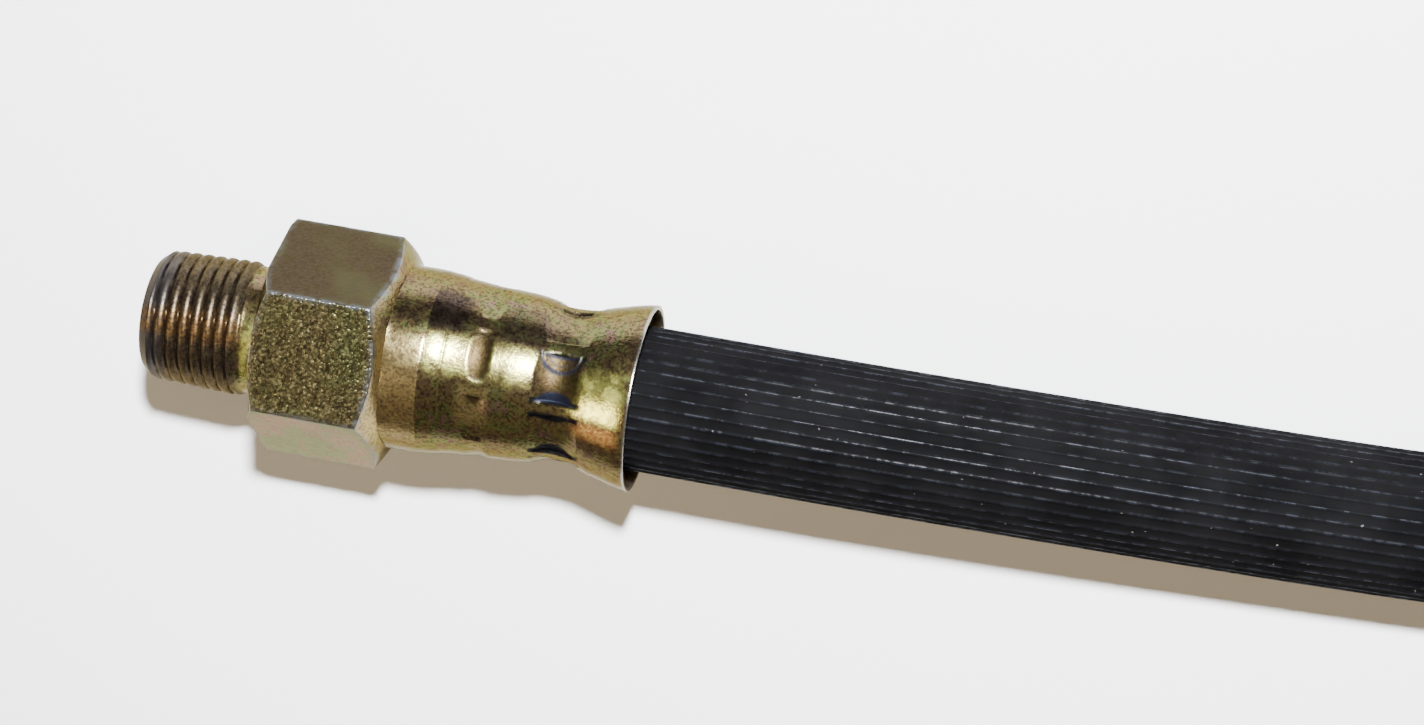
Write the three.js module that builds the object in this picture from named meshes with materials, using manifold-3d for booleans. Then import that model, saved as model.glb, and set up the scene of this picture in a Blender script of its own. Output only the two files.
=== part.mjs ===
// Brake hose lying on a flat surface: a black rubber hose with a steel fitting crimped on each end.
// Millimetres, +Z up. The two fittings lie side by side along X with their mouths towards +X. The hose
// leaves the male fitting, turns back on the surface and enters the female fitting.
// The origin is on the surface, midway between the two fittings.
import * as THREE from "three";
import { mergeVertices } from "three/addons/utils/BufferGeometryUtils.js";
import Module from "manifold-3d";

const wasm = await Module();
wasm.setup();

// Clearance between two pieces that grip each other on the real hose
const CLEARANCE = 0.3;

// Hose
const HOSE_DIAMETER = 10.5;
const HOSE_BORE = 3.2;
const HOSE_SIDES = 12;
const HOSE_STEP = 2 * HOSE_DIAMETER;

// Distance between the centre lines of the two fittings
const LEG_SPACING = 115;

// Hexagons, turned from one size of bar
const HEX_ACROSS_FLATS = 15;
const FRONT_CHAMFER_ANGLE = 25;
const REAR_CHAMFER_ANGLE = 31;
const HEX_FACE_INSET = 0.08;
const MALE_HEX_LENGTH = 9.45;
const FEMALE_HEX_LENGTH = 19.5;

// Male nose: a 1/8 inch taper pipe thread of 28 turns an inch, drawn as the cone over its crests
const THREAD_TIP_DIAMETER = 9.5;
const THREAD_TAPER = 1 / 16;
const THREAD_LENGTH = 7.4;
const THREAD_CHAMFER = 0.6;
const THREAD_RUN_OUT = 0.35;
const NECK_DIAMETER = 9.3;
const NECK_LENGTH = 1.75;
const FLARE_SEAT_DIAMETER = 5.6;

// Female socket: tapped M10 x 1, drawn as the cylinder over its crests, with a cone seat at its foot
const SOCKET_DIAMETER = 8.92;
const SOCKET_DEPTH = 11;
const SOCKET_CHAMFER = 0.7;
const CONE_SEAT_DEPTH = 2.2;
const CONE_SEAT_TOP_DIAMETER = 2.6;

// Skirt: the thin tube that is crimped on the hose, measured back from its mouth
const SKIRT_LENGTH = 17.55;
const SKIRT_WALL = 0.9;
const SKIRT_SLACK = 0.53;
const TAPER_START = 14.2;
const FIRST_CRIMP_PLACE = 11.05;
const FIRST_CRIMP_DEPTH = 0.68;
const FIRST_CRIMP_LAND = 1.1;
const BULGE_PLACE = 9.1;
const BULGE_DEPTH = 0.51;
const SECOND_CRIMP_PLACE = 5.3;
const SECOND_CRIMP_DEPTH = 1.22;
const SECOND_CRIMP_LAND = 1.9;
const MOUTH_FLARE = 0.12;
const BELL_FULLNESS = 1.35;
const LIP_WALL = 0.4;
const LIP_DEPTH = 1.8;

// Marks of the crimping dies: a ring of flats with a ridge where two jaws meet
const JAWS = 8;
const JAW_TURN = 5;
const JAW_FADE = 0.8;
const RIDGE_SHARE = 0.07;

// Stem inside the hose, with saw-tooth barbs, and the fluid bore through it
const FLUID_BORE = 2;
const STEM_GROWTH = 0.1;
const STEM_RECESS = 2.2;
const STEM_ROOT = 1.5;
const BARB_COUNT = 5;
const BARB_HEIGHT = 0.25;

// The free hose starts this far inside each mouth and runs straight for this far past it
const FREE_START = 1.5;
const STRAIGHT_LEAD = 5;

// Faceting
const ROUND_SIDES = 48;
const SKIRT_SIDES = 5 * JAWS;
const RINGS_A_STRETCH = 3;
const CAVITY_RINGS_A_STRETCH = 2;

// Centre line of one half of the free hose, chosen by eye: distance along X from the mouths, distance
// across from the middle line, and height of the centre. The other half mirrors it.
const HALF_ROUTE = [
  [11, 57.5, 7.45],
  [21, 57.5, 7.12],
  [31, 57.48, 6.62],
  [41, 57.45, 6.02],
  [50, 57.35, 5.55],
  [58, 57.1, 5.34],
  [67, 56.3, 5.3],
  [77, 54.1, 5.3],
  [87, 49.7, 5.3],
  [99, 41.4, 5.3],
  [109.5, 29.6, 5.3],
  [116.3, 15.6, 5.3],
];
const ROUTE_REACH = 118.8;

// Sizes that follow from the ones above
const HOSE_RADIUS = HOSE_DIAMETER / 2;
const HOSE_FLAT_RADIUS = HOSE_RADIUS * Math.cos(Math.PI / HOSE_SIDES);
const SKIRT_RADIUS = HOSE_RADIUS + SKIRT_SLACK + SKIRT_WALL;
const MOUTH_RADIUS = SKIRT_RADIUS + MOUTH_FLARE;
const HEX_APOTHEM = HEX_ACROSS_FLATS / 2;
const HEX_CORNER = HEX_APOTHEM / Math.cos(Math.PI / 6);
const NOSE_LENGTH = THREAD_LENGTH + NECK_LENGTH;
const MALE_LENGTH = NOSE_LENGTH + MALE_HEX_LENGTH + SKIRT_LENGTH;
const FEMALE_LENGTH = FEMALE_HEX_LENGTH + SKIRT_LENGTH;
const CHAMBER_FLOOR = SKIRT_LENGTH - STEM_ROOT;
const STEM_RADIUS = HOSE_BORE / 2 + STEM_GROWTH;
const MOUTH_X = Math.max(MALE_LENGTH, FEMALE_LENGTH) / 2;
const AXIS_HEIGHT = Math.max(HEX_APOTHEM, MOUTH_RADIUS);
const JAW_TURN_ANGLE = THREE.MathUtils.degToRad(JAW_TURN);
const BITE = 0.5; // how far a cut or a joined piece runs past the face that it meets
const SEAM_STEP = 0.02; // the hose's gripped end is this much thinner than the free hose that it joins
const LEAST_STRETCH = 0.01; // two stations nearer than this are one

// A geometry as a closed solid, ready to be joined and cut
function solid(geometry) {
  const bare = geometry.clone();
  bare.deleteAttribute("normal");
  bare.deleteAttribute("uv");
  const merged = mergeVertices(bare, 1e-4);
  return new wasm.Manifold(
    new wasm.Mesh({
      numProp: 3,
      vertProperties: merged.attributes.position.array,
      triVerts: new Uint32Array(merged.index.array),
    }),
  );
}

function namedMesh(name, shape, material) {
  const { numProp, numVert, vertProperties, triVerts } = shape.getMesh();
  const positions = new Float32Array(numVert * 3);
  for (let i = 0; i < numVert; i++) {
    positions.set(vertProperties.subarray(i * numProp, i * numProp + 3), i * 3);
  }
  const indexed = new THREE.BufferGeometry();
  indexed.setAttribute("position", new THREE.BufferAttribute(positions, 3));
  indexed.setIndex(new THREE.BufferAttribute(triVerts, 1));
  const geometry = indexed.toNonIndexed();
  geometry.computeVertexNormals();
  const mesh = new THREE.Mesh(geometry, material);
  mesh.name = name;
  return mesh;
}

// A turned solid about the X axis, from an outline of [x, radius] that starts and ends on the axis
function turned(outline, sides = ROUND_SIDES) {
  const points = outline.map(([x, radius]) => new THREE.Vector2(radius, x));
  return solid(new THREE.LatheGeometry(points, sides).rotateZ(-Math.PI / 2));
}

// A solid about the X axis with one ring of points at each station and a flat end at both ends
function ringed(stations, radiusAt) {
  const positions = [];
  const triangles = [];
  for (const x of stations) {
    for (let i = 0; i < SKIRT_SIDES; i++) {
      const angle = JAW_TURN_ANGLE + (2 * Math.PI * i) / SKIRT_SIDES;
      const radius = radiusAt(x, angle);
      positions.push(x, radius * Math.cos(angle), radius * Math.sin(angle));
    }
  }
  const first = stations.length * SKIRT_SIDES;
  const last = first + 1;
  positions.push(stations[0], 0, 0, stations.at(-1), 0, 0);
  for (let i = 0; i < SKIRT_SIDES; i++) {
    const next = (i + 1) % SKIRT_SIDES;
    const end = (stations.length - 1) * SKIRT_SIDES;
    triangles.push(first, next, i, last, end + i, end + next);
    for (let ring = 0; ring < end; ring += SKIRT_SIDES) {
      const [a, b] = [ring + i, ring + next];
      triangles.push(a, b, a + SKIRT_SIDES, b, b + SKIRT_SIDES, a + SKIRT_SIDES);
    }
  }
  const geometry = new THREE.BufferGeometry();
  geometry.setAttribute("position", new THREE.Float32BufferAttribute(positions, 3));
  geometry.setIndex(triangles);
  return solid(geometry);
}

// The skirt's outline as [x, radius] at the places where its slope changes, with the mouth at x = 0
const SKIRT_OUTLINE = [
  [-SKIRT_LENGTH - BITE, SKIRT_RADIUS],
  [-TAPER_START, SKIRT_RADIUS],
  [-FIRST_CRIMP_PLACE - FIRST_CRIMP_LAND / 2, SKIRT_RADIUS - FIRST_CRIMP_DEPTH],
  [-FIRST_CRIMP_PLACE + FIRST_CRIMP_LAND / 2, SKIRT_RADIUS - FIRST_CRIMP_DEPTH],
  [-BULGE_PLACE, SKIRT_RADIUS - BULGE_DEPTH],
  [-SECOND_CRIMP_PLACE - SECOND_CRIMP_LAND / 2, SKIRT_RADIUS - SECOND_CRIMP_DEPTH],
  [-SECOND_CRIMP_PLACE + SECOND_CRIMP_LAND / 2, SKIRT_RADIUS - SECOND_CRIMP_DEPTH],
  [0, MOUTH_RADIUS],
];

// Radius of the round skirt: soft waves between the crimps, then a bell that opens to the mouth
function roundRadius(x) {
  const inside = SKIRT_OUTLINE.findIndex(([station]) => station >= x);
  const after = inside < 0 ? SKIRT_OUTLINE.length - 1 : Math.max(inside, 1);
  const [fromX, fromRadius] = SKIRT_OUTLINE[after - 1];
  const [toX, toRadius] = SKIRT_OUTLINE[after];
  const share = THREE.MathUtils.clamp((x - fromX) / (toX - fromX), 0, 1);
  const isBell = after === SKIRT_OUTLINE.length - 1;
  const eased = isBell ? 1 - (1 - share) ** BELL_FULLNESS : (1 - Math.cos(Math.PI * share)) / 2;
  return THREE.MathUtils.lerp(fromRadius, toRadius, eased);
}

// How strongly the jaws' flats show: fully on the two lands, fading out beside them
function jawGrip(x) {
  const beside = Math.min(
    Math.abs(x + FIRST_CRIMP_PLACE) - FIRST_CRIMP_LAND / 2,
    Math.abs(x + SECOND_CRIMP_PLACE) - SECOND_CRIMP_LAND / 2,
  );
  return 1 - THREE.MathUtils.clamp(beside / JAW_FADE, 0, 1);
}

function skirtRadius(x, angle) {
  const jaw = (2 * Math.PI) / JAWS;
  const offFlat = THREE.MathUtils.euclideanModulo(angle - JAW_TURN_ANGLE, jaw) - jaw / 2;
  const ridge = Math.min(1 / Math.cos(offFlat) - 1, RIDGE_SHARE);
  return roundRadius(x) * (1 + ridge * jawGrip(x));
}

function wallAt(x) {
  return THREE.MathUtils.lerp(LIP_WALL, SKIRT_WALL, THREE.MathUtils.clamp(-x / LIP_DEPTH, 0, 1));
}

// Stations along the skirt, the same number in each stretch of its outline
function skirtStations(from, ringsAStretch) {
  const stations = [from];
  for (let k = 1; k < SKIRT_OUTLINE.length; k++) {
    const [start, end] = [SKIRT_OUTLINE[k - 1][0], SKIRT_OUTLINE[k][0]];
    for (let step = 1; step <= ringsAStretch; step++) {
      const x = THREE.MathUtils.lerp(start, end, step / ringsAStretch);
      if (x > from + LEAST_STRETCH) stations.push(x);
    }
  }
  return stations;
}

// The stem that fills the hose's bore, with barbs that point back at the hexagon
function stem() {
  const root = -CHAMBER_FLOOR;
  const tip = -STEM_RECESS;
  const pitch = (tip - root) / (BARB_COUNT + 1);
  const grooveRadius = STEM_RADIUS - BARB_HEIGHT;
  const outline = [[root - BITE, 0], [root - BITE, grooveRadius]];
  for (let barb = 1; barb <= BARB_COUNT; barb++) {
    const back = root + barb * pitch;
    outline.push([back, grooveRadius], [back, STEM_RADIUS]);
  }
  outline.push([tip, grooveRadius], [tip, 0]);
  return turned(outline, ROUND_SIDES / 2);
}

// The skirt on its solid root, hollowed for the hose, with the stem in the middle
function skirtWithStem() {
  const outside = ringed(skirtStations(-SKIRT_LENGTH - BITE, RINGS_A_STRETCH), skirtRadius);
  const chamber = ringed(
    [...skirtStations(-CHAMBER_FLOOR, CAVITY_RINGS_A_STRETCH), BITE],
    (x, angle) => skirtRadius(x, angle) - wallAt(x),
  );
  return outside.subtract(chamber).add(stem());
}

// Hexagon from its end face to the foot of its back chamfer, with both ends turned to a cone
function hexagon(length) {
  const corners = [];
  for (let k = 0; k < 6; k++) {
    const angle = Math.PI / 2 + (k * Math.PI) / 3;
    corners.push(new THREE.Vector2(HEX_CORNER * Math.cos(angle), HEX_CORNER * Math.sin(angle)));
  }
  const face = -SKIRT_LENGTH - length;
  const bar = new THREE.ExtrudeGeometry(new THREE.Shape(corners), { depth: length, bevelEnabled: false });
  bar.rotateY(Math.PI / 2).translate(face, 0, 0);
  const frontSlope = Math.tan(THREE.MathUtils.degToRad(FRONT_CHAMFER_ANGLE));
  const rearSlope = Math.tan(THREE.MathUtils.degToRad(REAR_CHAMFER_ANGLE));
  const faceRadius = HEX_APOTHEM - HEX_FACE_INSET;
  const over = HEX_CORNER + BITE;
  const foot = Math.min(SKIRT_RADIUS, faceRadius);
  const cones = turned([
    [face, 0],
    [face, faceRadius],
    [face + (over - faceRadius) * frontSlope, over],
    [-SKIRT_LENGTH - (over - foot) * rearSlope, over],
    [-SKIRT_LENGTH, foot],
    [-SKIRT_LENGTH, 0],
  ]);
  return solid(bar).intersect(cones);
}

// Male nose: chamfered lead, thread, then the plain neck beside the hexagon
function nose() {
  const face = -SKIRT_LENGTH - MALE_HEX_LENGTH;
  const tip = face - NOSE_LENGTH;
  const crestRadius = (x) => (THREAD_TIP_DIAMETER + (x - tip) * THREAD_TAPER) / 2;
  const neckRadius = NECK_DIAMETER / 2;
  const threadEnd = tip + THREAD_LENGTH;
  return turned([
    [tip, 0],
    [tip, crestRadius(tip) - THREAD_CHAMFER],
    [tip + THREAD_CHAMFER, crestRadius(tip + THREAD_CHAMFER)],
    [threadEnd, crestRadius(threadEnd)],
    [threadEnd + THREAD_RUN_OUT, neckRadius],
    [face + BITE, neckRadius],
    [face + BITE, 0],
  ]);
}

// Fluid bore from the end face to the stem's tip, opened to a cone where a flared pipe or cone seals
function fluidBore(from, wideRadius) {
  const radius = FLUID_BORE / 2;
  return turned(
    [
      [from - BITE, 0],
      [from - BITE, wideRadius + BITE],
      [from + wideRadius - radius, radius],
      [BITE, radius],
      [BITE, 0],
    ],
    ROUND_SIDES / 2,
  );
}

function maleFitting() {
  return nose()
    .add(hexagon(MALE_HEX_LENGTH))
    .add(skirtWithStem())
    .subtract(fluidBore(-MALE_LENGTH, FLARE_SEAT_DIAMETER / 2));
}

// Tapped hole for the next pipe's nut, with a chamfered mouth and a cone seat standing at its foot
function tappedSocket() {
  const face = -FEMALE_LENGTH;
  const radius = SOCKET_DIAMETER / 2;
  const seatRadius = CONE_SEAT_TOP_DIAMETER / 2;
  return turned([
    [face - BITE, 0],
    [face - BITE, radius + SOCKET_CHAMFER + BITE],
    [face + SOCKET_CHAMFER, radius],
    [face + SOCKET_DEPTH, radius],
    [face + SOCKET_DEPTH - CONE_SEAT_DEPTH, seatRadius],
    [face + SOCKET_DEPTH - CONE_SEAT_DEPTH, 0],
  ]);
}

function femaleFitting() {
  return hexagon(FEMALE_HEX_LENGTH)
    .add(skirtWithStem())
    .subtract(tappedSocket())
    .subtract(fluidBore(-FEMALE_LENGTH + SOCKET_DEPTH - CONE_SEAT_DEPTH, CONE_SEAT_TOP_DIAMETER / 2));
}

// The hose's end inside a skirt: squeezed by the crimps outside and stretched over the stem inside
function grippedEnd() {
  const floor = -CHAMBER_FLOOR + CLEARANCE;
  const end = -FREE_START + BITE;
  const stations = skirtStations(floor, CAVITY_RINGS_A_STRETCH).filter((x) => x < end);
  const outerRadius = (x) => Math.min(roundRadius(x) - wallAt(x) - CLEARANCE, HOSE_FLAT_RADIUS - SEAM_STEP);
  const holeRadius = STEM_RADIUS + CLEARANCE;
  const outline = [[floor, 0], ...[...stations, end].map((x) => [x, outerRadius(x)]), [end, 0]];
  const outside = turned(outline, ROUND_SIDES / 2);
  const hole = turned(
    [
      [floor - BITE, 0],
      [floor - BITE, holeRadius],
      [-STEM_RECESS + CLEARANCE, holeRadius],
      [-STEM_RECESS + CLEARANCE + holeRadius - HOSE_BORE / 2, HOSE_BORE / 2],
      [end + BITE, HOSE_BORE / 2],
      [end + BITE, 0],
    ],
    ROUND_SIDES / 2,
  );
  return outside.subtract(hole);
}

// Centre line of the free hose, from inside one mouth to inside the other
function freeRoute() {
  const ends = [
    [-FREE_START, LEG_SPACING / 2, AXIS_HEIGHT],
    [STRAIGHT_LEAD, LEG_SPACING / 2, AXIS_HEIGHT],
  ];
  const half = [...ends, ...HALF_ROUTE];
  const out = half.map(([x, across, height]) => new THREE.Vector3(MOUTH_X + x, -across, height));
  const back = half.map(([x, across, height]) => new THREE.Vector3(MOUTH_X + x, across, height));
  const middle = new THREE.Vector3(MOUTH_X + ROUTE_REACH, 0, HALF_ROUTE.at(-1)[2]);
  return new THREE.CatmullRomCurve3([...out, middle, ...back.reverse()], false, "centripetal");
}

function ringShape(outerRadius, holeRadius) {
  const shape = new THREE.Shape();
  const hole = new THREE.Path();
  for (const [path, radius] of [[shape, outerRadius], [hole, holeRadius]]) {
    const corners = [];
    for (let k = 0; k < HOSE_SIDES; k++) {
      const angle = (2 * Math.PI * k) / HOSE_SIDES;
      corners.push(new THREE.Vector2(radius * Math.cos(angle), radius * Math.sin(angle)));
    }
    path.setFromPoints(corners);
  }
  shape.holes.push(hole);
  return shape;
}

function hose() {
  const route = freeRoute();
  const steps = Math.ceil(route.getLength() / HOSE_STEP);
  const section = ringShape(HOSE_RADIUS, HOSE_BORE / 2);
  const free = solid(new THREE.ExtrudeGeometry(section, { steps, extrudePath: route }));
  const gripped = grippedEnd();
  const atMale = gripped.translate([MOUTH_X, -LEG_SPACING / 2, AXIS_HEIGHT]);
  const atFemale = gripped.translate([MOUTH_X, LEG_SPACING / 2, AXIS_HEIGHT]);
  return free.add(atMale).add(atFemale);
}

const platedSteel = () =>
  new THREE.MeshStandardMaterial({ color: 0xa39458, roughness: 0.34, metalness: 0.95 });
const blackRubber = () =>
  new THREE.MeshStandardMaterial({ color: 0x17171a, roughness: 0.5, metalness: 0 });

const brakeHose = new THREE.Group();

const male = namedMesh("male_end_fitting", maleFitting(), platedSteel());
male.position.set(MOUTH_X, -LEG_SPACING / 2, AXIS_HEIGHT);
brakeHose.add(male);

const female = namedMesh("female_end_fitting", femaleFitting(), platedSteel());
female.position.set(MOUTH_X, LEG_SPACING / 2, AXIS_HEIGHT);
brakeHose.add(female);

brakeHose.add(namedMesh("rubber_hose", hose(), blackRubber()));

export default brakeHose;
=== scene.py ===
# %% [markdown]
# # A brake hose on a white surface
# The object is a short rubber brake hose with a plated steel fitting crimped on each end. It lies on a
# plain white surface and is seen from almost straight above, close to the threaded fitting. This lesson
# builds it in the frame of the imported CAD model: metres, +Z up, the surface at z = 0. The sizes of the
# object are written in millimetres, and become metres where a mesh is made.

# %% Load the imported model
import math

import bpy
import numpy as np
from mathutils import Matrix, Vector


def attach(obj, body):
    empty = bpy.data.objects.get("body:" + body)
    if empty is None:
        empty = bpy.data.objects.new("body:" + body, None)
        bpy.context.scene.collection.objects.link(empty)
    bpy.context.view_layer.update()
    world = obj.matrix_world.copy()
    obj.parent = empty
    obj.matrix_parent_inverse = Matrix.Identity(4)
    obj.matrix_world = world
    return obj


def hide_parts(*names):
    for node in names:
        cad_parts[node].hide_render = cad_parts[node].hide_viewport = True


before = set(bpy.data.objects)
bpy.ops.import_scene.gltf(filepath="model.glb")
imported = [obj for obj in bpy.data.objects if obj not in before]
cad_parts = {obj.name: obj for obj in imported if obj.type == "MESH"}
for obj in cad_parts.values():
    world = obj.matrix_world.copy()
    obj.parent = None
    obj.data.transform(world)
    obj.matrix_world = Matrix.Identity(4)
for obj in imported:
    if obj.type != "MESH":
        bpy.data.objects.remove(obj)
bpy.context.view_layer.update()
MM = 0.001
print("CAD nodes:", sorted(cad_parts))

# %% [markdown]
# ## The camera
# The picture was taken by hand from about 21 cm above the fitting, leaning a little past the vertical and
# turned a few degrees. A long lens keeps the hexagon's edges nearly parallel. The place, the point that it
# looks at, the roll and the lens were found by matching the hexagon's corners, the nose and the mouth.
# The camera comes first, because everything after it is judged through it.

# %% Place the camera
CAMERA_PLACE = Vector((0.05055, -0.01538, 0.21992))
CAMERA_TARGET = Vector((0.02310, -0.05430, 0.00600))
CAMERA_ROLL = math.radians(8.655)
CAMERA_LENS = 76.97

look = (CAMERA_TARGET - CAMERA_PLACE).normalized()
level_right = look.cross(Vector((0, 1, 0))).normalized()
level_up = level_right.cross(look)
right = math.cos(CAMERA_ROLL) * level_right + math.sin(CAMERA_ROLL) * level_up
up = math.cos(CAMERA_ROLL) * level_up - math.sin(CAMERA_ROLL) * level_right
lens = bpy.data.cameras.new("camera")
lens.lens = CAMERA_LENS
lens.sensor_width = 36
lens.clip_start = 0.005
lens.clip_end = 20
camera = bpy.data.objects.new("camera", lens)
bpy.context.scene.collection.objects.link(camera)
camera.matrix_world = Matrix.Translation(CAMERA_PLACE) @ Matrix((right, up, -look)).transposed().to_4x4()
bpy.context.scene.camera = camera
print("camera", round((CAMERA_TARGET - CAMERA_PLACE).length * 1000), "mm from its target")

# %% [markdown]
# ## The line that the hose lies on
# The hose leaves the male fitting at the height of the hexagon's middle, sinks to the surface within 50 mm,
# turns back in one wide bend and enters the second fitting. A smooth curve through a few given points gives
# that line. It is the same curve as in the CAD source, so the hose lies where its solid lies.

# %% Trace the hose's centre line
LEG = 57.5
MOUTH = 18.525
AXIS = 7.5
HALF_ROUTE = [
    (-1.5, 57.5, 7.5), (5, 57.5, 7.5), (11, 57.5, 7.45), (21, 57.5, 7.12), (31, 57.48, 6.62),
    (41, 57.45, 6.02), (50, 57.35, 5.55), (58, 57.1, 5.34), (67, 56.3, 5.3), (77, 54.1, 5.3),
    (87, 49.7, 5.3), (99, 41.4, 5.3), (109.5, 29.6, 5.3), (116.3, 15.6, 5.3),
]
out = [(MOUTH + x, -y, z) for x, y, z in HALF_ROUTE]
back = [(MOUTH + x, y, z) for x, y, z in reversed(HALF_ROUTE)]
ROUTE = np.array(out + [(MOUTH + 118.8, 0, 5.3)] + back)


def smooth_line(points, steps=24):
    """A centripetal Catmull-Rom line through the points."""
    ends = np.vstack([2 * points[0] - points[1], points, 2 * points[-1] - points[-2]])
    line = []
    for p0, p1, p2, p3 in zip(ends, ends[1:], ends[2:], ends[3:]):
        d0, d1, d2 = (np.linalg.norm(b - a) ** 0.5 for a, b in ((p0, p1), (p1, p2), (p2, p3)))
        t1 = ((p1 - p0) / d0 - (p2 - p0) / (d0 + d1) + (p2 - p1) / d1) * d1
        t2 = ((p2 - p1) / d1 - (p3 - p1) / (d1 + d2) + (p3 - p2) / d2) * d1
        for t in np.arange(steps) / steps:
            a = (2 * t**3 - 3 * t**2 + 1) * p1 + (t**3 - 2 * t**2 + t) * t1
            line.append(a + (3 * t**2 - 2 * t**3) * p2 + (t**3 - t**2) * t2)
    return np.array(line + [points[-1]])


free_line = smooth_line(ROUTE)
print("free hose:", round(np.linalg.norm(np.diff(free_line, axis=0), axis=1).sum()), "mm")

# %% [markdown]
# ## One way to make every round piece
# The fittings and the hose are all closed skins wrapped round a line. Each is built from rings of points:
# a ring may be a plain circle, but it may also follow a hexagon, a screw thread or the marks of crimping
# jaws, which a lathe or a screw modifier can't do. The rings run over the outside, round the end and back
# through the bore, so the skin closes on itself. Inner rings carry a quarter of the points, because they
# hardly show, and one strip of triangles sews the two kinds together.

# %% Sew rings of points into a closed skin
def sewn(fine, coarse):
    """Vertices and faces of a closed skin: fine rings first, then coarse rings with a quarter of the points."""
    count, quarter = len(fine[0]), len(coarse[0])
    points = np.vstack(fine + coarse)
    start = len(fine) * count
    faces = []

    def band(first, second, n):
        a = first + np.arange(n)
        b = first + (np.arange(n) + 1) % n
        faces.extend(np.stack([a, b, b + second - first, a + second - first], axis=1).tolist())

    for ring in range(len(fine) - 1):
        band(ring * count, (ring + 1) * count, count)
    for ring in range(len(coarse) - 1):
        band(start + ring * quarter, start + (ring + 1) * quarter, quarter)

    def seam(fine_ring, coarse_ring, outward):
        for k in range(quarter):
            here, beyond = coarse_ring + k, coarse_ring + (k + 1) % quarter
            edge = [fine_ring + (4 * k + step) % count for step in range(5)]
            fans = [(edge[0], edge[1], here), (edge[1], edge[2], here), (here, edge[2], beyond),
                    (edge[2], edge[3], beyond), (edge[3], edge[4], beyond)]
            faces.extend(fan if outward else fan[::-1] for fan in fans)

    seam((len(fine) - 1) * count, start, True)
    seam(0, start + (len(coarse) - 1) * quarter, False)
    return points, faces


def finished_piece(name, points, faces, sharp_degrees=38):
    """A smooth-shaded object from points in millimetres, with its sharp edges kept sharp."""
    mesh = bpy.data.meshes.new(name)
    mesh.from_pydata((points * MM).tolist(), [], faces)
    mesh.update()
    mesh.shade_smooth()
    mesh.set_sharp_from_angle(angle=math.radians(sharp_degrees))
    piece = bpy.data.objects.new(name, mesh)
    bpy.context.scene.collection.objects.link(piece)
    print(name, "triangles:", sum(len(f) - 2 for f in faces))
    return piece


def eased(low, high, x):
    """0 below low, 1 above high, and a soft step between."""
    t = np.clip((x - low) / (high - low), 0, 1)
    return t * t * (3 - 2 * t)


# %% [markdown]
# ## The ribbed hose
# The rubber cover is extruded with 38 fine ribs along it, which break its shine into thin lines. They are
# only a tenth of a millimetre high, but a bump map would leave the edge of the hose smooth, so they are
# real geometry: eight points to a rib. Inside the fittings the hose is squeezed by the crimps and sits on
# the stem, so its rings get narrower there.

# %% Wrap ribbed rings along the line
HOSE_RADIUS = 5.25
HOSE_BORE_RADIUS = 1.6
RIBS = 38
RIB_HEIGHT = 0.09
RIB_PLACES = np.array([0, 0.09, 0.17, 0.28, 0.5, 0.72, 0.83, 0.91])
RIB_RISE = np.array([1, 0.8, 0.25, 0.02, 0, 0.02, 0.25, 0.8])
GRIPPED = 14.25
END_GAP = 0.3
GRIPPED_BORE_RADIUS = 2.0
RING_SPACING = 1.7

hose_angles = (np.arange(RIBS)[:, None] + RIB_PLACES[None, :]).ravel() * 2 * np.pi / RIBS
rib_rise = np.tile(RIB_RISE, RIBS)


def even_line(points, spacing):
    """The same line with points an even distance apart."""
    lengths = np.concatenate([[0], np.cumsum(np.linalg.norm(np.diff(points, axis=0), axis=1))])
    places = np.linspace(0, lengths[-1], int(round(lengths[-1] / spacing)) + 1)
    return np.stack([np.interp(places, lengths, points[:, k]) for k in range(3)], axis=1)


inward = np.array([[GRIPPED - END_GAP, 0, 0]])
hose_line = even_line(np.vstack([free_line[:1] - inward, free_line, free_line[-1:] - inward]), RING_SPACING)


def gripped_radius(x):
    """Outer radius of the hose at x from the mouth, squeezed by the two crimps inside the skirt."""
    squeeze = 1.05 * np.exp(-((x + 5.4) / 1.9) ** 2) + 0.55 * np.exp(-((x + 11.2) / 1.7) ** 2)
    return HOSE_RADIUS - squeeze * eased(-1.2, -3.2, x)


def hose_rings(line):
    """Ribbed outer rings and plain bore rings, square to the line at each of its points."""
    tangents = np.gradient(line, axis=0)
    tangents /= np.linalg.norm(tangents, axis=1)[:, None]
    across = np.cross([0, 0, 1], tangents)
    across /= np.linalg.norm(across, axis=1)[:, None]
    above = np.cross(tangents, across)
    fine, coarse = [], []
    for middle, side, top in zip(line, across, above):
        beyond = middle[0] - MOUTH if abs(middle[1]) > LEG - 1 else 1
        outer = gripped_radius(beyond) - RIB_HEIGHT + RIB_HEIGHT * rib_rise
        bore = GRIPPED_BORE_RADIUS if beyond < -2 else HOSE_BORE_RADIUS
        for radius, angles, rings in ((outer, hose_angles, fine), (bore, hose_angles[::4], coarse)):
            round_part = np.cos(angles)[:, None] * side + np.sin(angles)[:, None] * top
            rings.append(middle + np.reshape(radius, (-1, 1)) * round_part)
    return fine, coarse[::-1]


hose_fine, hose_coarse = hose_rings(hose_line)
hose = finished_piece("ribbed_hose", *sewn(hose_fine, hose_coarse), sharp_degrees=60)

# %% [markdown]
# ## The round columns of a fitting
# Both fittings share one set of columns round their axis. Most are evenly spaced. More stand beside the six
# corners of the hexagon, for small rounds, and beside the eight places where the second crimp's jaws met,
# so that the marks there come out crisp. Their number is a multiple of four, so that every fourth column
# can go on through the inside.

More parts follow.
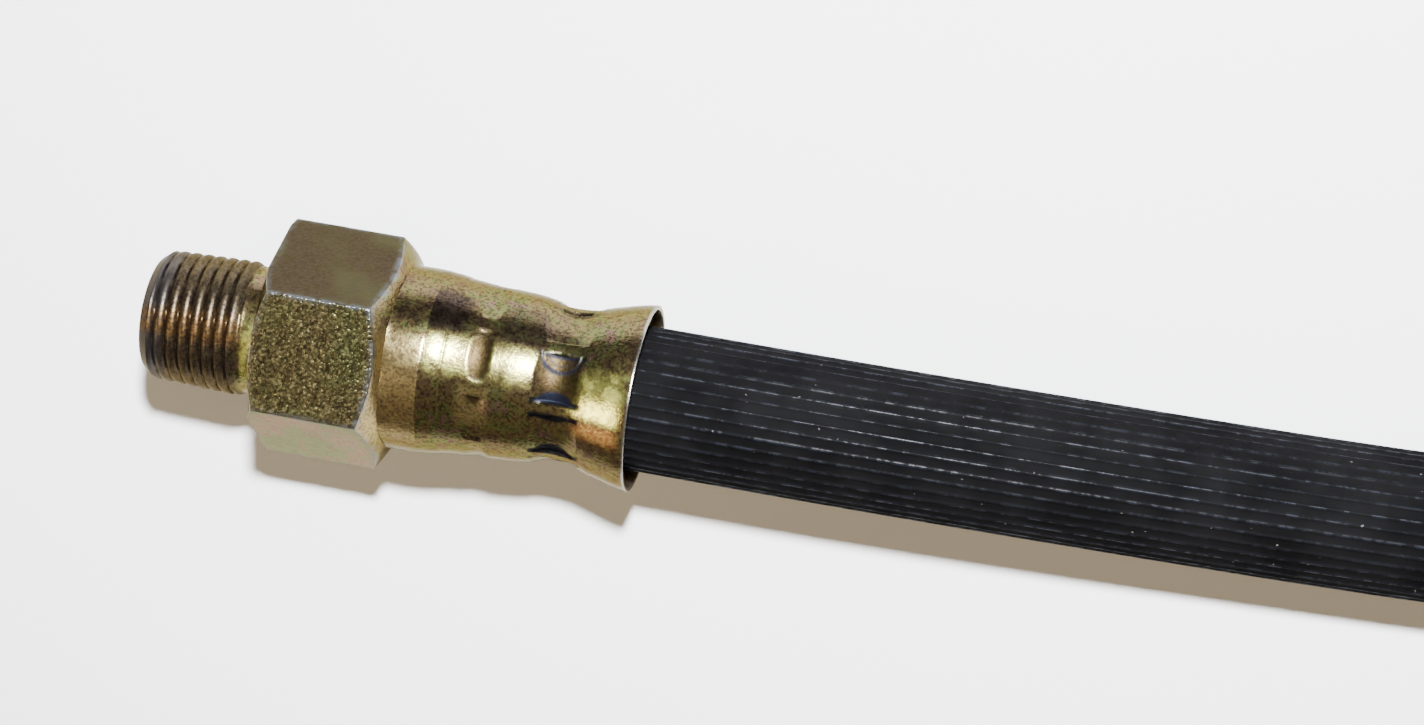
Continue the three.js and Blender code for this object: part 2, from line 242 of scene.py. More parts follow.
# %% Choose the columns
JAWS = 8
SECOND_CRIMP_TURN = math.radians(8.3)
even_columns = [math.radians(1.5) * k for k in range(240)]
corner_columns = [math.radians(60 * k + turn) for k in range(6) for turn in (-0.9, -0.45, 0.45, 0.9)]
jaw_columns = [
    SECOND_CRIMP_TURN + 2 * math.pi * k / JAWS + math.radians(beside)
    for k in range(JAWS) for beside in (-6.2, -5.2, 5.2, 6.2)
]
COLUMNS = [0.0]
for angle in sorted(a % (2 * math.pi) for a in even_columns + corner_columns + jaw_columns):
    if angle - COLUMNS[-1] > math.radians(0.3):
        COLUMNS.append(angle)
while len(COLUMNS) % 4:
    widest = int(np.argmax(np.diff(COLUMNS)))
    COLUMNS.insert(widest + 1, (COLUMNS[widest] + COLUMNS[widest + 1]) / 2)
COLUMNS = np.array(COLUMNS)
INNER_COLUMNS = COLUMNS[::4]
print("columns round a fitting:", len(COLUMNS))

# %% [markdown]
# ## The crimped skirt
# The skirt is the thin tube that holds the hose. Eight jaws close on it twice. Each jaw has a rounded nose
# that presses a short rectangle into the metal, and a narrow bar is left standing where two jaws meet.
# The second jaws also leave half-moons at the ends of their marks. Most are only dark, but one stands up a
# tenth of a millimetre inside a fine outline. Cutting such marks with booleans would leave hard edges all
# round. Here the radius at any place is worked out instead: the soft wave of the untouched metal, less the
# depth of the jaw's mark, so every edge is as soft as pressed metal is. Places along a fitting count from
# the mouth that the hose leaves, and are negative towards the hexagon.

# %% Give the skirt's radius at each place
SKIRT = 17.55
WAVE = np.array([
    (-17.6, 6.70), (-15.2, 6.67), (-14.2, 6.59), (-13.4, 6.44), (-12.6, 6.34), (-11.75, 6.27), (-10.95, 6.235),
    (-10.15, 6.215), (-9.25, 6.17), (-8.4, 6.12), (-7.6, 6.02), (-6.9, 5.89), (-6.2, 5.78), (-5.3, 5.74),
    (-4.5, 5.78), (-3.9, 5.85), (-3.2, 5.985), (-2.65, 6.16), (-2.1, 6.29), (-1.5, 6.46), (-0.9, 6.61),
    (-0.2, 6.74), (0.3, 6.80),
])
FIRST_CRIMP_TURN = math.radians(1.3)
FIRST_CRIMP = dict(place=-10.75, deep=6.09, nose=2.6, turn=FIRST_CRIMP_TURN, bar=6.0)
SECOND_CRIMP = dict(place=-5.15, deep=5.43, nose=3.3, turn=SECOND_CRIMP_TURN, bar=5.4)
HALF_JAW = 180 / JAWS
LIP = 0.3


def wave_radius(x):
    """Cubic through the wave's points."""
    slopes = np.gradient(WAVE[:, 1], WAVE[:, 0])
    k = np.clip(np.searchsorted(WAVE[:, 0], x) - 1, 0, len(WAVE) - 2)
    width = WAVE[k + 1, 0] - WAVE[k, 0]
    t = np.clip((x - WAVE[k, 0]) / width, 0, 1)
    return ((2 * t**3 - 3 * t**2 + 1) * WAVE[k, 1] + (t**3 - 2 * t**2 + t) * width * slopes[k]
            + (3 * t**2 - 2 * t**3) * WAVE[k + 1, 1] + (t**3 - t**2) * width * slopes[k + 1])


def off_jaw(angles, crimp):
    """Angle in degrees from the middle of the nearest jaw."""
    jaw = 2 * math.pi / JAWS
    return np.degrees(np.mod(angles - crimp["turn"], jaw) - jaw / 2)


def jaw_mark(x, angles, crimp):
    """How deep a jaw's nose pressed the metal at each column, and how strongly the mark's side walls show."""
    nose = crimp["deep"] + (x - crimp["place"]) ** 2 / (2 * crimp["nose"])
    off = np.abs(off_jaw(angles, crimp))
    flat = nose / np.cos(np.radians(np.minimum(off, 22) * 0.45))
    edge = HALF_JAW - crimp["bar"]
    inside = 1 - eased(edge - 0.2, edge + 1.3, off)
    pressed = np.maximum(wave_radius(x) - flat, 0)
    wall = eased(edge - 3.2, edge - 1.2, off) * (1 - eased(edge + 1.4, edge + 2.4, off))
    return pressed * inside, wall * np.clip((wave_radius(x) - nose + 0.04) / 0.06, 0, 1)


MOON_HALF_WIDTH = 1.45
RAISED_JAW, RAISED_HEIGHT, RAISED_REACH = 75, 0.10, 12.5
LOW_REACH, HIGH_REACH = 8.5, 5.5


def half_moons(x, angles):
    """The second jaws' half-moons: the raised one's height and outline, and where the dark ones are."""
    reach = HALF_JAW - SECOND_CRIMP["bar"]
    off = off_jaw(angles, SECOND_CRIMP)
    into = reach + off
    across = (x - SECOND_CRIMP["place"]) / MOON_HALF_WIDTH
    raised = np.abs(np.degrees(np.mod(angles, 2 * np.pi)) - RAISED_JAW) < HALF_JAW
    bowl = np.hypot(across, np.maximum(into, 0) / RAISED_REACH)
    slope = 1 - np.clip(into / RAISED_REACH, 0, 1)
    height = RAISED_HEIGHT * raised * (into > -0.5) * (1 - eased(0.88, 1.0, bowl)) * slope
    outline = np.exp(-((bowl - 1.0) / 0.12) ** 2) + 0.5 * np.exp(-((bowl - 0.62) / 0.07) ** 2)
    outline = outline * raised * (into > -0.8) * (into < 15)
    low_end = np.hypot(across, np.maximum(reach - off, 0) / LOW_REACH)
    high_end = np.hypot(across, np.maximum(into, 0) / HIGH_REACH) + 9 * raised
    dark = (off < reach + 1) * (1 - eased(0.75, 1.0, low_end)) + (into > -1) * (1 - eased(0.75, 1.0, high_end))
    return height, outline, dark


def skirt_radius(x, angles):
    """The wave less the jaws' marks, a little uneven, with a scribed line and a turned band by the hexagon."""
    depth = jaw_mark(x, angles, FIRST_CRIMP)[0] + jaw_mark(x, angles, SECOND_CRIMP)[0]
    uneven = 0.012 * np.sin(3 * angles + 0.7) * eased(-14, -11, x) * eased(0.5, -1, x)
    scribe = 0.02 * np.exp(-((x + 13.45) / 0.07) ** 2)
    band = 0.02 * eased(-14.85, -15.05, x)
    return wave_radius(x) - depth + uneven - scribe + band + half_moons(x, angles)[0]


skirt_places = np.concatenate([
    np.linspace(-17.42, -15.3, 8), np.linspace(-15.05, -14.85, 5), np.linspace(-14.6, -13.65, 5),
    np.linspace(-13.55, -13.35, 5), np.linspace(-13.2, -12.0, 9), np.linspace(-11.9, -9.6, 26),
    np.linspace(-9.5, -7.1, 17), np.linspace(-7.0, -3.3, 42), np.linspace(-3.2, LIP - 0.2, 24),
])
print("rings along a skirt:", len(skirt_places))

# %% [markdown]
# ## Rings of a fitting
# A ring is given by how far along the axis and how far from it each column is. Small lists of rings make
# each stretch: the hexagon with its turned cones, the skirt with its thin rolled lip, and the inside with
# the chamber, the barbed stem and the fluid bore. The stretches join into one skin, as the fitting is one
# piece of metal. The hexagon's front chamfer takes much off its upper corners and next to nothing off its
# side corners, as if the bar ran off centre in the lathe. So its cut follows each point's distance from a
# centre that lies a millimetre off the axis.

# %% Make the rings of the hexagon and the skirt
HEX_FLAT = 7.5
HEX_FACE_RADIUS = 7.42
HEX_FOOT_RADIUS = 6.72
CHAMFER_SLOPE = math.tan(math.radians(37))
CHAMFER_START = 8.62
CHAMFER_OFF_CENTRE = (0.2, 1.0)
REAR_SLOPE = math.tan(math.radians(31))
CORNER_ROUND = 0.12


def hex_radius(angles):
    """Distance to the hexagon's side at each column, with its six long edges slightly rounded."""
    off = np.mod(angles, math.pi / 3) - math.pi / 6
    side = HEX_FLAT / np.cos(off)
    corner = math.pi / 6 - np.abs(off)
    centre = (HEX_FLAT - CORNER_ROUND) / math.cos(math.pi / 6)
    rounded = centre * np.cos(corner) + np.sqrt(np.maximum(CORNER_ROUND**2 - (centre * np.sin(corner)) ** 2, 0))
    touches = centre * np.sin(corner) < CORNER_ROUND * 0.5
    return np.where(touches, np.minimum(side, rounded), side)


def front_chamfer(side, angles):
    """How far the off-centre chamfer cuts the hexagon back at each column."""
    off_y, off_z = CHAMFER_OFF_CENTRE
    reach = np.hypot(side * np.cos(angles) + off_y, side * np.sin(angles) + off_z) - CHAMFER_START
    return 0.5 * (reach + np.hypot(reach, 0.1)) * CHAMFER_SLOPE


def ring(x, radius, angles=None):
    """One ring as (along the axis, from the axis) for every column."""
    size = len(COLUMNS if angles is None else angles)
    return np.broadcast_to(x, size).astype(float), np.broadcast_to(radius, size).astype(float)


def hexagon_rings(face, length):
    """From the front face's rim, over the turned cone and along the flats, to the foot of the rear cone."""
    side = hex_radius(COLUMNS)
    cut = front_chamfer(side, COLUMNS)
    front = face + 0.02 + cut
    rear = face + length - (side - HEX_FOOT_RADIUS) * REAR_SLOPE
    rise = np.minimum(0.07, 0.4 * cut + 0.01)
    rings = [ring(face, 7.30), ring(face + 0.012, 7.37), ring(face + 0.03, HEX_FACE_RADIUS)]
    for share in (0.25, 0.5, 0.75):
        radius = HEX_FACE_RADIUS + (side - HEX_FACE_RADIUS) * share
        rings.append(ring(face + 0.03 + (front - face - 0.03) * share, radius))
    rings += [ring(front - rise * 0.6, side - rise), ring(front + 0.01, side - 0.012), ring(front + 0.07, side)]
    for share in np.linspace(0.06, 0.94, 14):
        rings.append(ring(front + (rear - front) * share, side))
    rings += [ring(rear - 0.07, side), ring(rear - 0.01, side - 0.012), ring(rear + 0.05, side - 0.08)]
    foot = face + length - 0.02
    for share in (0.25, 0.5, 0.75, 0.93):
        radius = side - 0.08 - (side - HEX_FOOT_RADIUS) * share
        rings.append(ring(rear + 0.05 + (foot - rear - 0.05) * share, radius))
    return rings


def skirt_rings():
    """Along the skirt and over its lip."""
    rings = [ring(x, skirt_radius(x, COLUMNS)) for x in skirt_places]
    lip = [(-0.09, 6.795), (-0.03, 6.775), (0, 6.72), (0.005, 6.64), (0, 6.55), (-0.03, 6.49), (-0.09, 6.46)]
    return rings + [ring(LIP + x, radius + 0.012 * np.sin(2 * COLUMNS + 1.1)) for x, radius in lip]


print("rings of a skirt with its lip:", len(skirt_rings()))

# %% [markdown]
# ## The inside of a fitting
# The inside can't be seen once the hose is in, but the part is a real tube with a real stem, so it is
# finished plainly: the chamber follows the skirt's own wall, and the hose slides over five plain barbs. One
# ring of points for each change of radius is enough.

# %% Make the rings of the inside
STEM_RADIUS = 1.7
STEM_ROOT = STEM_RADIUS - 0.25
STEM_TIP = -2.2
BORE_RADIUS = 1.0
CHAMBER = -16.05
BARBS = 5


def inner_ring(x, radius):
    return ring(x, radius, INNER_COLUMNS)


def chamber_rings():
    """From inside the lip to the chamber's floor, then along the barbed stem and round its tip."""
    rings = []
    for x in np.linspace(-0.35, -15.9, 46):
        wall = 0.4 + 0.5 * eased(0, -1.8, x)
        rings.append(inner_ring(x, skirt_radius(x, INNER_COLUMNS) - wall))
    rings += [inner_ring(CHAMBER, 5.5), inner_ring(CHAMBER, 3.5), inner_ring(CHAMBER, STEM_ROOT)]
    pitch = (STEM_TIP - CHAMBER) / (BARBS + 1)
    for barb in range(1, BARBS + 1):
        back = CHAMBER + barb * pitch
        rings += [inner_ring(back, STEM_ROOT), inner_ring(back + 0.05, STEM_RADIUS)]
    return rings + [inner_ring(STEM_TIP, STEM_ROOT), inner_ring(STEM_TIP, BORE_RADIUS)]


print("rings of a chamber and its stem:", len(chamber_rings()))

# %% [markdown]
# ## The male nose
# The nose carries a taper pipe thread: 28 turns an inch, with round crests, on a cone that widens by 1 in
# 16. A ring of points can follow a thread if its radius rises and falls once for each turn round the axis,
# and the phase moves on by one pitch. The lead is chamfered and its first two crests are worn grey. The
# last turn runs out into a plain neck.

# %% Make the rings of the thread
TAPER_PITCH = 25.4 / 28
CREST_RADIUS = 4.76
THREAD_DEPTH = 0.46
NECK_RADIUS = 4.65
MALE_FACE = -27.0
TIP = -36.27
THREAD_END = TIP + 7.5


def thread_form(x, angles, pitch, phase=0.0):
    """1 on the round crest and 0 in the narrow root of a right-hand thread."""
    beside = np.abs(np.mod(x / pitch - angles / (2 * np.pi) + phase, 1) - 0.5) * 2
    return np.sqrt(1 - 0.93 * beside**2)


def male_thread_radius(x, angles):
    """The taper thread with its chamfered lead, slightly worn crests near the tip and a run-out."""
    worn = 0.03 * (0.5 + 0.5 * np.sin(5 * angles + 2.1 * x)) * eased(TIP + 3.5, TIP + 1, x)
    crest = CREST_RADIUS + (x - TIP) / 32 - worn
    radius = crest - THREAD_DEPTH * (1 - thread_form(x, angles, TAPER_PITCH))
    radius = np.minimum(radius, 4.15 + (x - TIP) * 0.85)
    run_out = eased(THREAD_END - 0.9, THREAD_END + 0.3, x)
    return radius * (1 - run_out) + NECK_RADIUS * run_out


def nose_rings():
    """From the flare of the bore at the tip, along the thread and the neck, to the hexagon's front face."""
    rings = [ring(TIP, 2.82), ring(TIP, 3.3), ring(TIP, 3.9), ring(TIP, 4.08), ring(TIP + 0.02, 4.13)]
    for x in np.arange(TIP + 0.06, THREAD_END + 0.35, TAPER_PITCH / 12):
        rings.append(ring(x, male_thread_radius(x, COLUMNS)))
    for before, more in ((1.2, 0), (0.9, 0), (0.5, 0), (0.2, 0), (0.1, 0.02), (0.03, 0.09)):
        rings.append(ring(MALE_FACE - before, NECK_RADIUS + more))
    return rings + [ring(MALE_FACE, radius) for radius in (4.85, 5.5, 6.4, 7.0)]


print("rings of the nose:", len(nose_rings()))

# %% Sew the male fitting
MALE_HEX_LENGTH = 9.45


def placed(rings, angles, side):
    """Rings of one fitting as points in the row frame. side is -1 for the male leg and 1 for the female leg."""
    made = []
    for along, radius in rings:
        y, z = side * LEG + radius * np.cos(angles), AXIS + radius * np.sin(angles)
        made.append(np.stack([MOUTH + along, y, z], axis=1))
    return made


male_outside = nose_rings() + hexagon_rings(MALE_FACE, MALE_HEX_LENGTH) + skirt_rings()
male_inside = chamber_rings() + [
    inner_ring(-12, BORE_RADIUS), inner_ring(-24, BORE_RADIUS), inner_ring(TIP + 1.85, BORE_RADIUS),
    inner_ring(TIP + 0.05, 2.72),
]
male = finished_piece(
    "male_fitting", *sewn(placed(male_outside, COLUMNS, -1), placed(male_inside, INNER_COLUMNS, -1))
)

# %% [markdown]
# ## The female fitting
# The far end is outside the picture. It is the plain common form for this hose: the same hexagon bar and
# skirt, with a tapped socket for a pipe nut and a cone seat at the foot of the socket. It is made from
# the same rings, so that both ends look like one maker's work.

# %% Sew the female fitting
FEMALE_FACE = -37.05
FEMALE_HEX_LENGTH = 19.5
SOCKET_DEPTH = 11.0
SOCKET_PITCH = 1.0
SOCKET_ROOT_RADIUS = 5.04
SOCKET_MOUTH_RADIUS = 5.16


def socket_radius(x, angles):
    """The socket's thread, opened out to a cone at its mouth."""
    form = thread_form(x, angles, SOCKET_PITCH)
    mouth = SOCKET_MOUTH_RADIUS - (x - FEMALE_FACE)
    return np.maximum(SOCKET_ROOT_RADIUS - 0.58 * form, mouth)


def socket_rings():
    """From the cone seat's top out to the chamfered mouth."""
    floor = FEMALE_FACE + SOCKET_DEPTH
    rings = [inner_ring(-12, BORE_RADIUS), inner_ring(-26.5, BORE_RADIUS), inner_ring(floor - 2.2, 1.3)]
    rings += [inner_ring(floor - 1.1, 2.85), inner_ring(floor, 4.4)]
    for x in np.arange(floor - 0.2, FEMALE_FACE + 0.1, -SOCKET_PITCH / 10):
        rings.append(inner_ring(x, socket_radius(x, INNER_COLUMNS)))
    return rings


female_outside = [ring(FEMALE_FACE, 5.2), ring(FEMALE_FACE, 5.8), ring(FEMALE_FACE, 6.8)]
female_outside += hexagon_rings(FEMALE_FACE, FEMALE_HEX_LENGTH) + skirt_rings()
female_inside = chamber_rings() + socket_rings()
female = finished_piece(
    "female_fitting", *sewn(placed(female_outside, COLUMNS, 1), placed(female_inside, INNER_COLUMNS, 1))
)

# %% [markdown]
# ## Marks that a finish needs to know about
# Some places on the steel look different because of how they were made or used, and some carry painted light
# and shade. The walls of the jaw marks are painted dark as shade, and the flats in them are rubbed and painted
# darker where the highlight falls. Dark bands along the upper and lower sides of the skirt are painted
# reflections of a dim room. Lime and amber on the bell mouth are painted highlights, and the turned band beside
# the hexagon is lighter and painted gilt where it is lit, a painted highlight. Its edges and the rim have lost
# their plating, two of its flats are painted darker as shade and one paler as a reflection, and the thread's
# roots are darker. The shader could work such places out from coordinates, but a number for each point is
# simpler: it says how strongly a mark shows, the material reads it, and the mark stays on the metal where the
# shape has it. Angles round a fitting are in degrees, from 0 at the side that faces +Y over 90 at the top.

# %% Helpers for the marks
def note(piece, name, values):
    """Keeps one number from 0 to 1 for each point of the piece."""
    layer = piece.data.attributes.new(name, "FLOAT", "POINT")
    layer.data.foreach_set("value", np.clip(values, 0, 1).astype(np.float32))


def between(x, rise, fall):
    """1 between two soft steps, each given by where it starts and ends, and 0 beyond them."""
    return eased(*rise, x) * (1 - eased(*fall, x))


# %% The marks on the skirt
TURNED_BAND_END = -14.95


def note_jaws(piece, along, angles, outside):
    """The jaw marks' walls and half-moons, painted dark as shade, and their rubbed flats, painted darker where
    the lamp's highlight falls. Gives back the flats.
    """
    turn = np.degrees(angles)
    first_flat, first_wall = jaw_mark(along, angles, FIRST_CRIMP)
    second_flat, second_wall = jaw_mark(along, angles, SECOND_CRIMP)
    outline, dark_moon = half_moons(along, angles)[1:]
    # Painted shade: the walls of the jaw marks and the half-moons are marked to be painted dark, weaker on the
    # +Y side.
    walls = np.maximum(np.maximum(0.15 * first_wall + second_wall, outline), dark_moon)
    shade_by_angle = 0.35 + 0.65 * between(turn, (50, 64), (180, 200))
    note(piece, "pressed", shade_by_angle * walls * outside * (along > -13) * (along < -2.5))
    flats = first_flat / 0.06 + second_flat / 0.15
    # The rubbed flats are rougher, and on the side that faces the lamp they are also darkened, as painted
    # shade.
    note(piece, "rubbed_and_shaded", flats * outside * between(turn, (55, 62), (96, 106)))
    return np.clip(flats, 0, 1)


def note_tints(piece, face, along, radius, angles, outside, flats):
    """Where dark bands, lime and amber highlights and a gilt highlight are painted on the film."""
    turn = np.degrees(angles)
    waists = between(along, (-12.9, -11.6), (-10.4, -9.0)) + eased(-7.2, -5.6, along)
    # Painted shade: dark bands along the upper and lower sides of the skirt, set by the angle round it, stand
    # for reflections of a dim room.
    upper = between(turn, (20, 31), (53, 65)) * (1 - 0.75 * np.minimum(waists, 1))
    upper = upper * (1 - 0.3 * eased(-10.0, -9.0, along))
    lower = 0.25 * between(turn, (80, 90), (112, 128)) * (1 - 0.6 * eased(-12.2, -11.6, along))
    lower = lower * (1 - eased(-3.6, -2.6, along))
    dark_band = np.maximum(upper, lower) * (along > TURNED_BAND_END) * (1 - eased(-0.9, 0, along))
    # Painted shade: the top and the lower side of the skirt are painted a little darker.
    side_shade = 0.32 * (1 - eased(48, 62, turn)) + 0.36 * between(turn, (116, 128), (165, 190))
    note(piece, "painted_dark_bands", np.maximum(dark_band, side_shade) * outside * (along > -SKIRT))

    # Painted highlight: the bell, the neck and the bulges are painted lime where the highlight falls.
    bell = outside * between(along, (-4.4, -2.4), (-0.9, 0.1))
    neck = between(along, (face - 1.7, face - 1.3), (face - 0.3, face - 0.05)) * (radius < 5.2)
    green = bell * between(turn, (63, 76), (97, 103)) + 0.6 * neck * between(turn, (70, 85), (120, 135))
    bulges = outside * between(along, (-15.0, -14.2), (-7.4, -6.6)) * (1 - flats)
    note(piece, "lime_highlight", np.maximum(green, 0.22 * bulges * between(turn, (56, 64), (82, 90))))
    # Painted highlight: an orange streak on the lower side of the bell.
    note(piece, "amber_highlight", bell * between(turn, (101, 107), (109, 118)))

    # The turned band beside the hexagon is lighter, and is painted gilt on its lit side and on the waist below,
    # as a painted highlight.
    band = (along > -SKIRT - 1.3) & (along < TURNED_BAND_END)
    gilt_highlight = band * between(turn, (60, 72), (125, 150)) * (1 - 0.5 * eased(98, 114, turn))
    waist = between(along, (-12.5, -11.6), (-10.2, -9.4))
    gilt_highlight = np.maximum(gilt_highlight, 0.55 * waist * between(turn, (86, 96), (112, 124)))
    note(piece, "gilt_highlight", outside * gilt_highlight)


# %% The marks on the hexagon and the thread
def note_hexagon(piece, face, along, radius, angles):
    """The hexagon's bare edges, and which of its flats are grainy, satin and painted darker as shade, or
    painted pale as a reflection.
    """
    on_hex = (along > face - 0.1) & (along < -SKIRT)
    side = hex_radius(angles)
    front = face + front_chamfer(side, angles)
    rear = -SKIRT - (side - HEX_FOOT_RADIUS) * REAR_SLOPE
    arcs = 0.7 * np.exp(-((along - front) / 0.10) ** 2) + np.exp(-((along - rear) / 0.11) ** 2)
    arcs = arcs * (radius > side - 0.2)
    corner = 30 - np.abs(np.degrees(np.mod(angles, np.pi / 3)) - 30)
    long_edges = np.exp(-(corner**2)) * (along > front) * (along < rear) * (radius > 7.2)
    note(piece, "edge", on_hex * np.maximum(arcs, long_edges))
    flat = on_hex * (along > front + 0.05) * (along < rear - 0.05) * (radius > 7.2)
    number = np.floor(angles / (np.pi / 3)).astype(int) % 6
    # Painted shade and reflection: two flats are satin and painted darker, and the flat facing -Y is painted
    # pale where it mirrors the white surface.
    for name, numbers in (("coarse", (1, 3, 5)), ("satin_shaded", (0, 4)), ("pale_reflection", (2,))):
        note(piece, name, flat * np.isin(number, numbers))


def note_thread(piece, face, tip, along, radius, angles):
    """The thread's darker roots, the painted highlight on its lit flanks, and its worn lead."""
    thread = (along < face - 0.4) & (radius > 3.9)
    turned = thread * eased(face - 1.4, face - 2.2, along)
    note(piece, "thread", turned)
    # The thread's roots are marked darker.
    note(piece, "dark_roots", turned * (1 - thread_form(along, angles, TAPER_PITCH)))
    flank = np.mod(along / TAPER_PITCH - angles / (2 * np.pi), 1)
    # Painted highlight: the lit flanks of the thread are painted honey-coloured.
    lit = between(np.degrees(angles), (68, 80), (92, 102)) * eased(face - 1.0, face - 1.8, along)
    note(piece, "honey_highlight", thread * lit * np.maximum(0.6, np.exp(-((flank - 0.64) / 0.24) ** 2)))
    note(piece, "worn_lead", thread * (1 - eased(tip + 1.3, tip + 2.3, along)))


# %% Note the marks on each fitting and on the ribs of the hose
def note_marks(piece, side, face, tip):
    """Every mark on one fitting, from each point's place along the axis, from it and round it."""
    points = np.array([v.co for v in piece.data.vertices]) / MM
    along = points[:, 0] - MOUTH
    y, z = points[:, 1] - side * LEG, points[:, 2] - AXIS
    radius, angles = np.hypot(y, z), np.mod(np.arctan2(z, y), 2 * np.pi)
    outside = radius > skirt_radius(np.clip(along, -17, -0.1), angles) - 0.2
    flats = note_jaws(piece, along, angles, outside)
    note_tints(piece, face, along, radius, angles, outside, flats)
    note_hexagon(piece, face, along, radius, angles)
    note_thread(piece, face, tip, along, radius, angles)
    note(piece, "rim", eased(LIP - 0.22, LIP - 0.05, along) * (radius > 6.3))
    print("marks noted on", piece.name)


NO_THREAD = FEMALE_FACE - 50
polish = np.repeat(np.random.default_rng(4).uniform(0.15, 1.0, RIBS) ** 1.2, len(RIB_RISE))
hose_crests = np.zeros(len(hose.data.vertices))
hose_crests[:len(hose_fine) * len(rib_rise)] = np.tile(polish * rib_rise**2, len(hose_fine))
note(hose, "crest", hose_crests)
note_marks(male, -1, MALE_FACE, TIP)
note_marks(female, 1, FEMALE_FACE, NO_THREAD)

# %% [markdown]
# ## Yellow plated steel
# The steel is zinc plated and then passivated, which leaves a thin film that shifts from gold to green, pink
# and brown. On the real part the film is blotchy at two sizes and speckled at a third. Noise at those three
# sizes picks the colour, and the marks from the last step add the worn places, the darker thread roots and the
# painted shade, reflections and highlights.
# The shader is almost fully metallic, so nearly all of its look is what it reflects.
#
# A material's nodes can be placed by hand in the editor or written in a script. A few helpers keep the
# script short: each adds one kind of node and gives back its output, so the lines read like a recipe.

# %% Helpers for a material's nodes
def wired(tree, kind, inputs=None, **settings):
    """A new node, with its settings and its inputs: a value, or the output that feeds it."""
    node = tree.nodes.new(kind)
    for key, value in settings.items():
        setattr(node, key, value)
    for key, value in (inputs or {}).items():
        if isinstance(value, bpy.types.NodeSocket):
            tree.links.new(value, node.inputs[key])
        else:
            node.inputs[key].default_value = value
    return node


def new_material(name, metallic):
    """A material with its node tree and its shader."""
    material = bpy.data.materials.new(name)
    material.use_nodes = True
    tree = material.node_tree
    shader = tree.nodes["Principled BSDF"]
    shader.inputs["Metallic"].default_value = metallic
    return material, tree, shader


def noise(tree, place, scale, detail=3, rough=0.55):
    """Cloudy noise. Its scale is in blotches to a metre."""
    inputs = {"Vector": place, "Scale": scale, "Detail": detail, "Roughness": rough}
    return wired(tree, "ShaderNodeTexNoise", inputs).outputs["Fac"]


def spread(tree, value, low, high, to_low=0.0, to_high=1.0):
    """Stretches the part of a value between low and high."""
    inputs = {"Value": value, "From Min": low, "From Max": high, "To Min": to_low, "To Max": to_high}
    return wired(tree, "ShaderNodeMapRange", inputs, interpolation_type="SMOOTHSTEP").outputs["Result"]


def mixed(tree, share, first, second, blend="MIX"):
    """The first colour with a share of the second one over it."""
    node = wired(tree, "ShaderNodeMix", data_type="RGBA", blend_type=blend, clamp_factor=True)
    for index, value in ((0, share), (6, first), (7, second)):
        if isinstance(value, bpy.types.NodeSocket):
            tree.links.new(value, node.inputs[index])
        else:
            node.inputs[index].default_value = value if index == 0 else (*value, 1)
    return node.outputs[2]


def math_node(tree, operation, first, second=0.5):
    node = wired(tree, "ShaderNodeMath", operation=operation)
    for index, value in enumerate((first, second)):
        if isinstance(value, bpy.types.NodeSocket):
            tree.links.new(value, node.inputs[index])
        else:
            node.inputs[index].default_value = value
    return node.outputs[0]


def marked(tree, name):
    """The number that was noted for each point under this name."""
    return wired(tree, "ShaderNodeAttribute", attribute_name=name).outputs["Fac"]


def share_of(tree, name, amount):
    """A mark, made weaker."""
    return math_node(tree, "MULTIPLY", marked(tree, name), amount)


def ramp(tree, value, stops):
    """A colour picked from a row of (place, colour) stops."""
    node = wired(tree, "ShaderNodeValToRGB", {"Fac": value})
    bar = node.color_ramp
    bar.elements[0].position, bar.elements[0].color = stops[0][0], (*stops[0][1], 1)
    bar.elements[1].position, bar.elements[1].color = stops[-1][0], (*stops[-1][1], 1)
    for place, colour in stops[1:-1]:
        bar.elements.new(place).color = (*colour, 1)
    return node.outputs["Color"]


# %% Make the film on the steel
steel, tree, shader = new_material("yellow_plated_steel", 0.93)
place = wired(tree, "ShaderNodeTexCoord").outputs["Object"]
wide = noise(tree, place, 240, 1, 0.4)
blotch = noise(tree, place, 1300, 2, 0.5)
speck = noise(tree, place, 4300, 3, 0.65)
grain = noise(tree, place, 4700, 2, 0.5)
both = math_node(tree, "ADD", math_node(tree, "MULTIPLY", blotch, 0.5), math_node(tree, "MULTIPLY", wide, 0.5))
film = ramp(tree, both, [
    (0.36, (0.118, 0.080, 0.052)), (0.43, (0.136, 0.099, 0.049)), (0.50, (0.156, 0.126, 0.051)),
    (0.57, (0.110, 0.133, 0.042)), (0.64, (0.162, 0.098, 0.074)),
])
film = mixed(tree, spread(tree, speck, 0.47, 0.60, 0, 0.85), film, (0.042, 0.031, 0.018))
# Painted shade: the colour of the dark reflection bands.
dark_band = mixed(tree, spread(tree, speck, 0.45, 0.60), (0.030, 0.022, 0.019), (0.012, 0.009, 0.009))
film = mixed(tree, share_of(tree, "painted_dark_bands", 0.92), film, dark_band)
# Painted highlight: the gilt colour of the turned band's lit side.
gilt_highlight = mixed(tree, spread(tree, speck, 0.45, 0.62), (0.40, 0.31, 0.13), (0.22, 0.16, 0.075))
film = mixed(tree, share_of(tree, "gilt_highlight", 0.75), film, gilt_highlight)
# Painted highlight: a bright lime colour where the highlight falls.
lime_highlight = mixed(tree, spread(tree, speck, 0.40, 0.62), (1.0, 1.0, 0.26), (0.70, 0.70, 0.17))
uneven_lime_highlight = math_node(tree, "MULTIPLY", marked(tree, "lime_highlight"), spread(tree, blotch, 0.40, 0.58, 0.45, 0.95))
film = mixed(tree, uneven_lime_highlight, film, lime_highlight)
# Painted highlight: a bright orange colour for the streak on the bell.
amber_highlight = mixed(tree, spread(tree, speck, 0.40, 0.62), (1.0, 0.60, 0.20), (0.60, 0.27, 0.09))
film = mixed(tree, share_of(tree, "amber_highlight", 0.85), film, amber_highlight)
print("nodes for the film:", len(tree.nodes))

